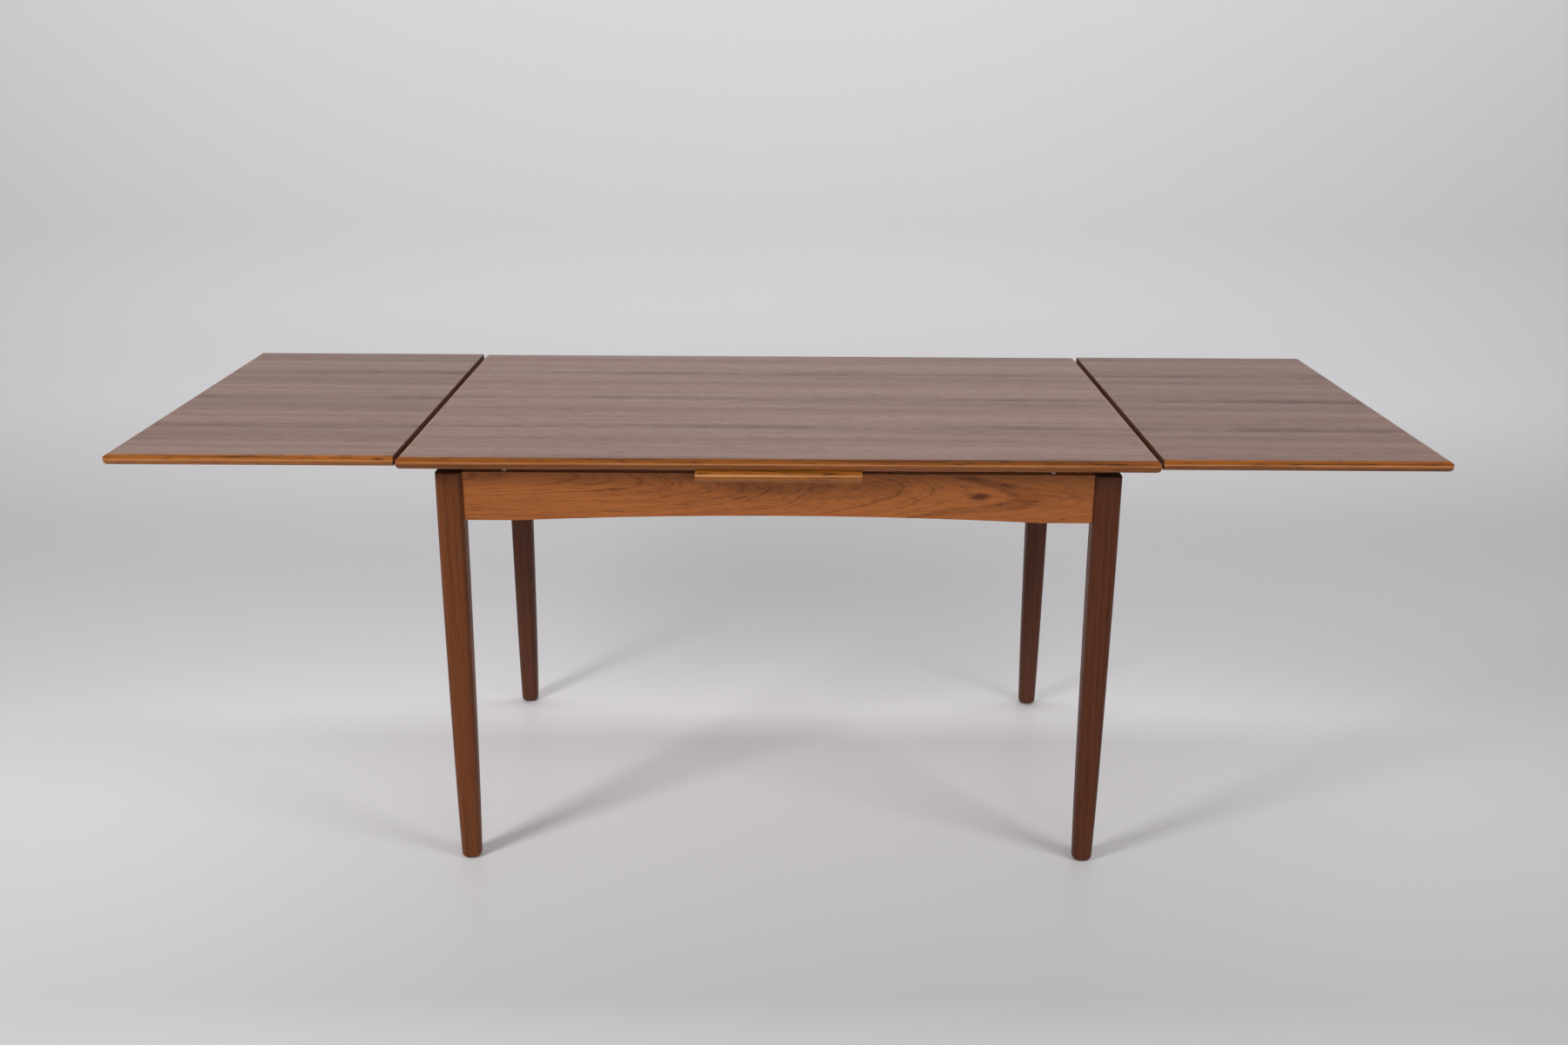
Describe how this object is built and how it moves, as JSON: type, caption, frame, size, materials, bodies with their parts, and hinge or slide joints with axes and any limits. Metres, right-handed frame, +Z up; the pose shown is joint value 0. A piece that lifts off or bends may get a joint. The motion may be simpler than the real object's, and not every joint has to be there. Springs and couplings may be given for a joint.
{
  "type": "draw leaf dining table",
  "caption": "Draw leaf dining table in teak: a loose top over a fixed centre board, arched aprons, tapered legs and a leaf at each end that slides in on sloping runners.",
  "frame": {"origin": "on the floor under the middle of the table", "axes": "+X along the length towards the right leaf, +Y towards the back long side, +Z up"},
  "size_m": [2.1132, 0.8066, 0.7333],
  "materials": {
    "teak_veneer": "satin lacquered teak veneer, grain along the table",
    "teak_lipping": "satin solid teak edge",
    "teak_board": "satin teak veneer",
    "teak_leg": "satin solid teak, grain along the leg",
    "teak_apron": "satin solid teak, figured grain",
    "beech": "plain planed beech",
    "screw_steel": "plain zinc plated steel",
    "white_felt": "white felt"
  },
  "bodies": {
    "frame": {"apron_back": "teak_apron", "apron_front": "teak_apron", "apron_glides": "white_felt", "apron_left": "teak_apron", "apron_right": "teak_apron", "centre_board_lipping_back": "teak_lipping", "centre_board_lipping_front": "teak_lipping", "centre_board_panel": "teak_board", "centre_rail": "beech", "leg_back_left": "teak_leg", "leg_back_right": "teak_leg", "leg_front_left": "teak_leg", "leg_front_right": "teak_leg"},
    "main_top": {"top_guide_pegs": "beech", "top_lipping_back": "teak_lipping", "top_lipping_front": "teak_lipping", "top_lipping_left": "teak_lipping", "top_lipping_right": "teak_lipping", "top_panel": "teak_veneer"},
    "left_leaf": {"left_leaf_inner_strip": "teak_veneer", "left_leaf_lipping_back": "teak_lipping", "left_leaf_lipping_end": "teak_lipping", "left_leaf_lipping_front": "teak_lipping", "left_leaf_panel": "teak_veneer", "left_runner_back": "beech", "left_runner_front": "beech", "left_runner_screws": "screw_steel", "left_runner_stops": "beech"},
    "right_leaf": {"right_leaf_inner_strip": "teak_veneer", "right_leaf_lipping_back": "teak_lipping", "right_leaf_lipping_end": "teak_lipping", "right_leaf_lipping_front": "teak_lipping", "right_leaf_panel": "teak_veneer", "right_runner_back": "beech", "right_runner_front": "beech", "right_runner_screws": "screw_steel", "right_runner_stops": "beech"}
  },
  "joints": [
    {"name": "top_lift", "type": "slide", "parent": "frame", "child": "main_top", "axis": [0, 0, 1], "range_m": [0, 1.87]},
    {"name": "right_leaf_draw", "type": "slide", "parent": "frame", "child": "right_leaf", "axis": [-0.999, 0, -0.0445], "range_m": [0, 0.4683]},
    {"name": "left_leaf_draw", "type": "slide", "parent": "frame", "child": "left_leaf", "axis": [0.999, 0, -0.0445], "range_m": [0, 0.4683]}
  ],
  "couplings": [
    {"joint": "right_leaf_draw", "follows": "top_lift", "ratio": 0.25},
    {"joint": "left_leaf_draw", "follows": "top_lift", "ratio": 0.25}
  ]
}
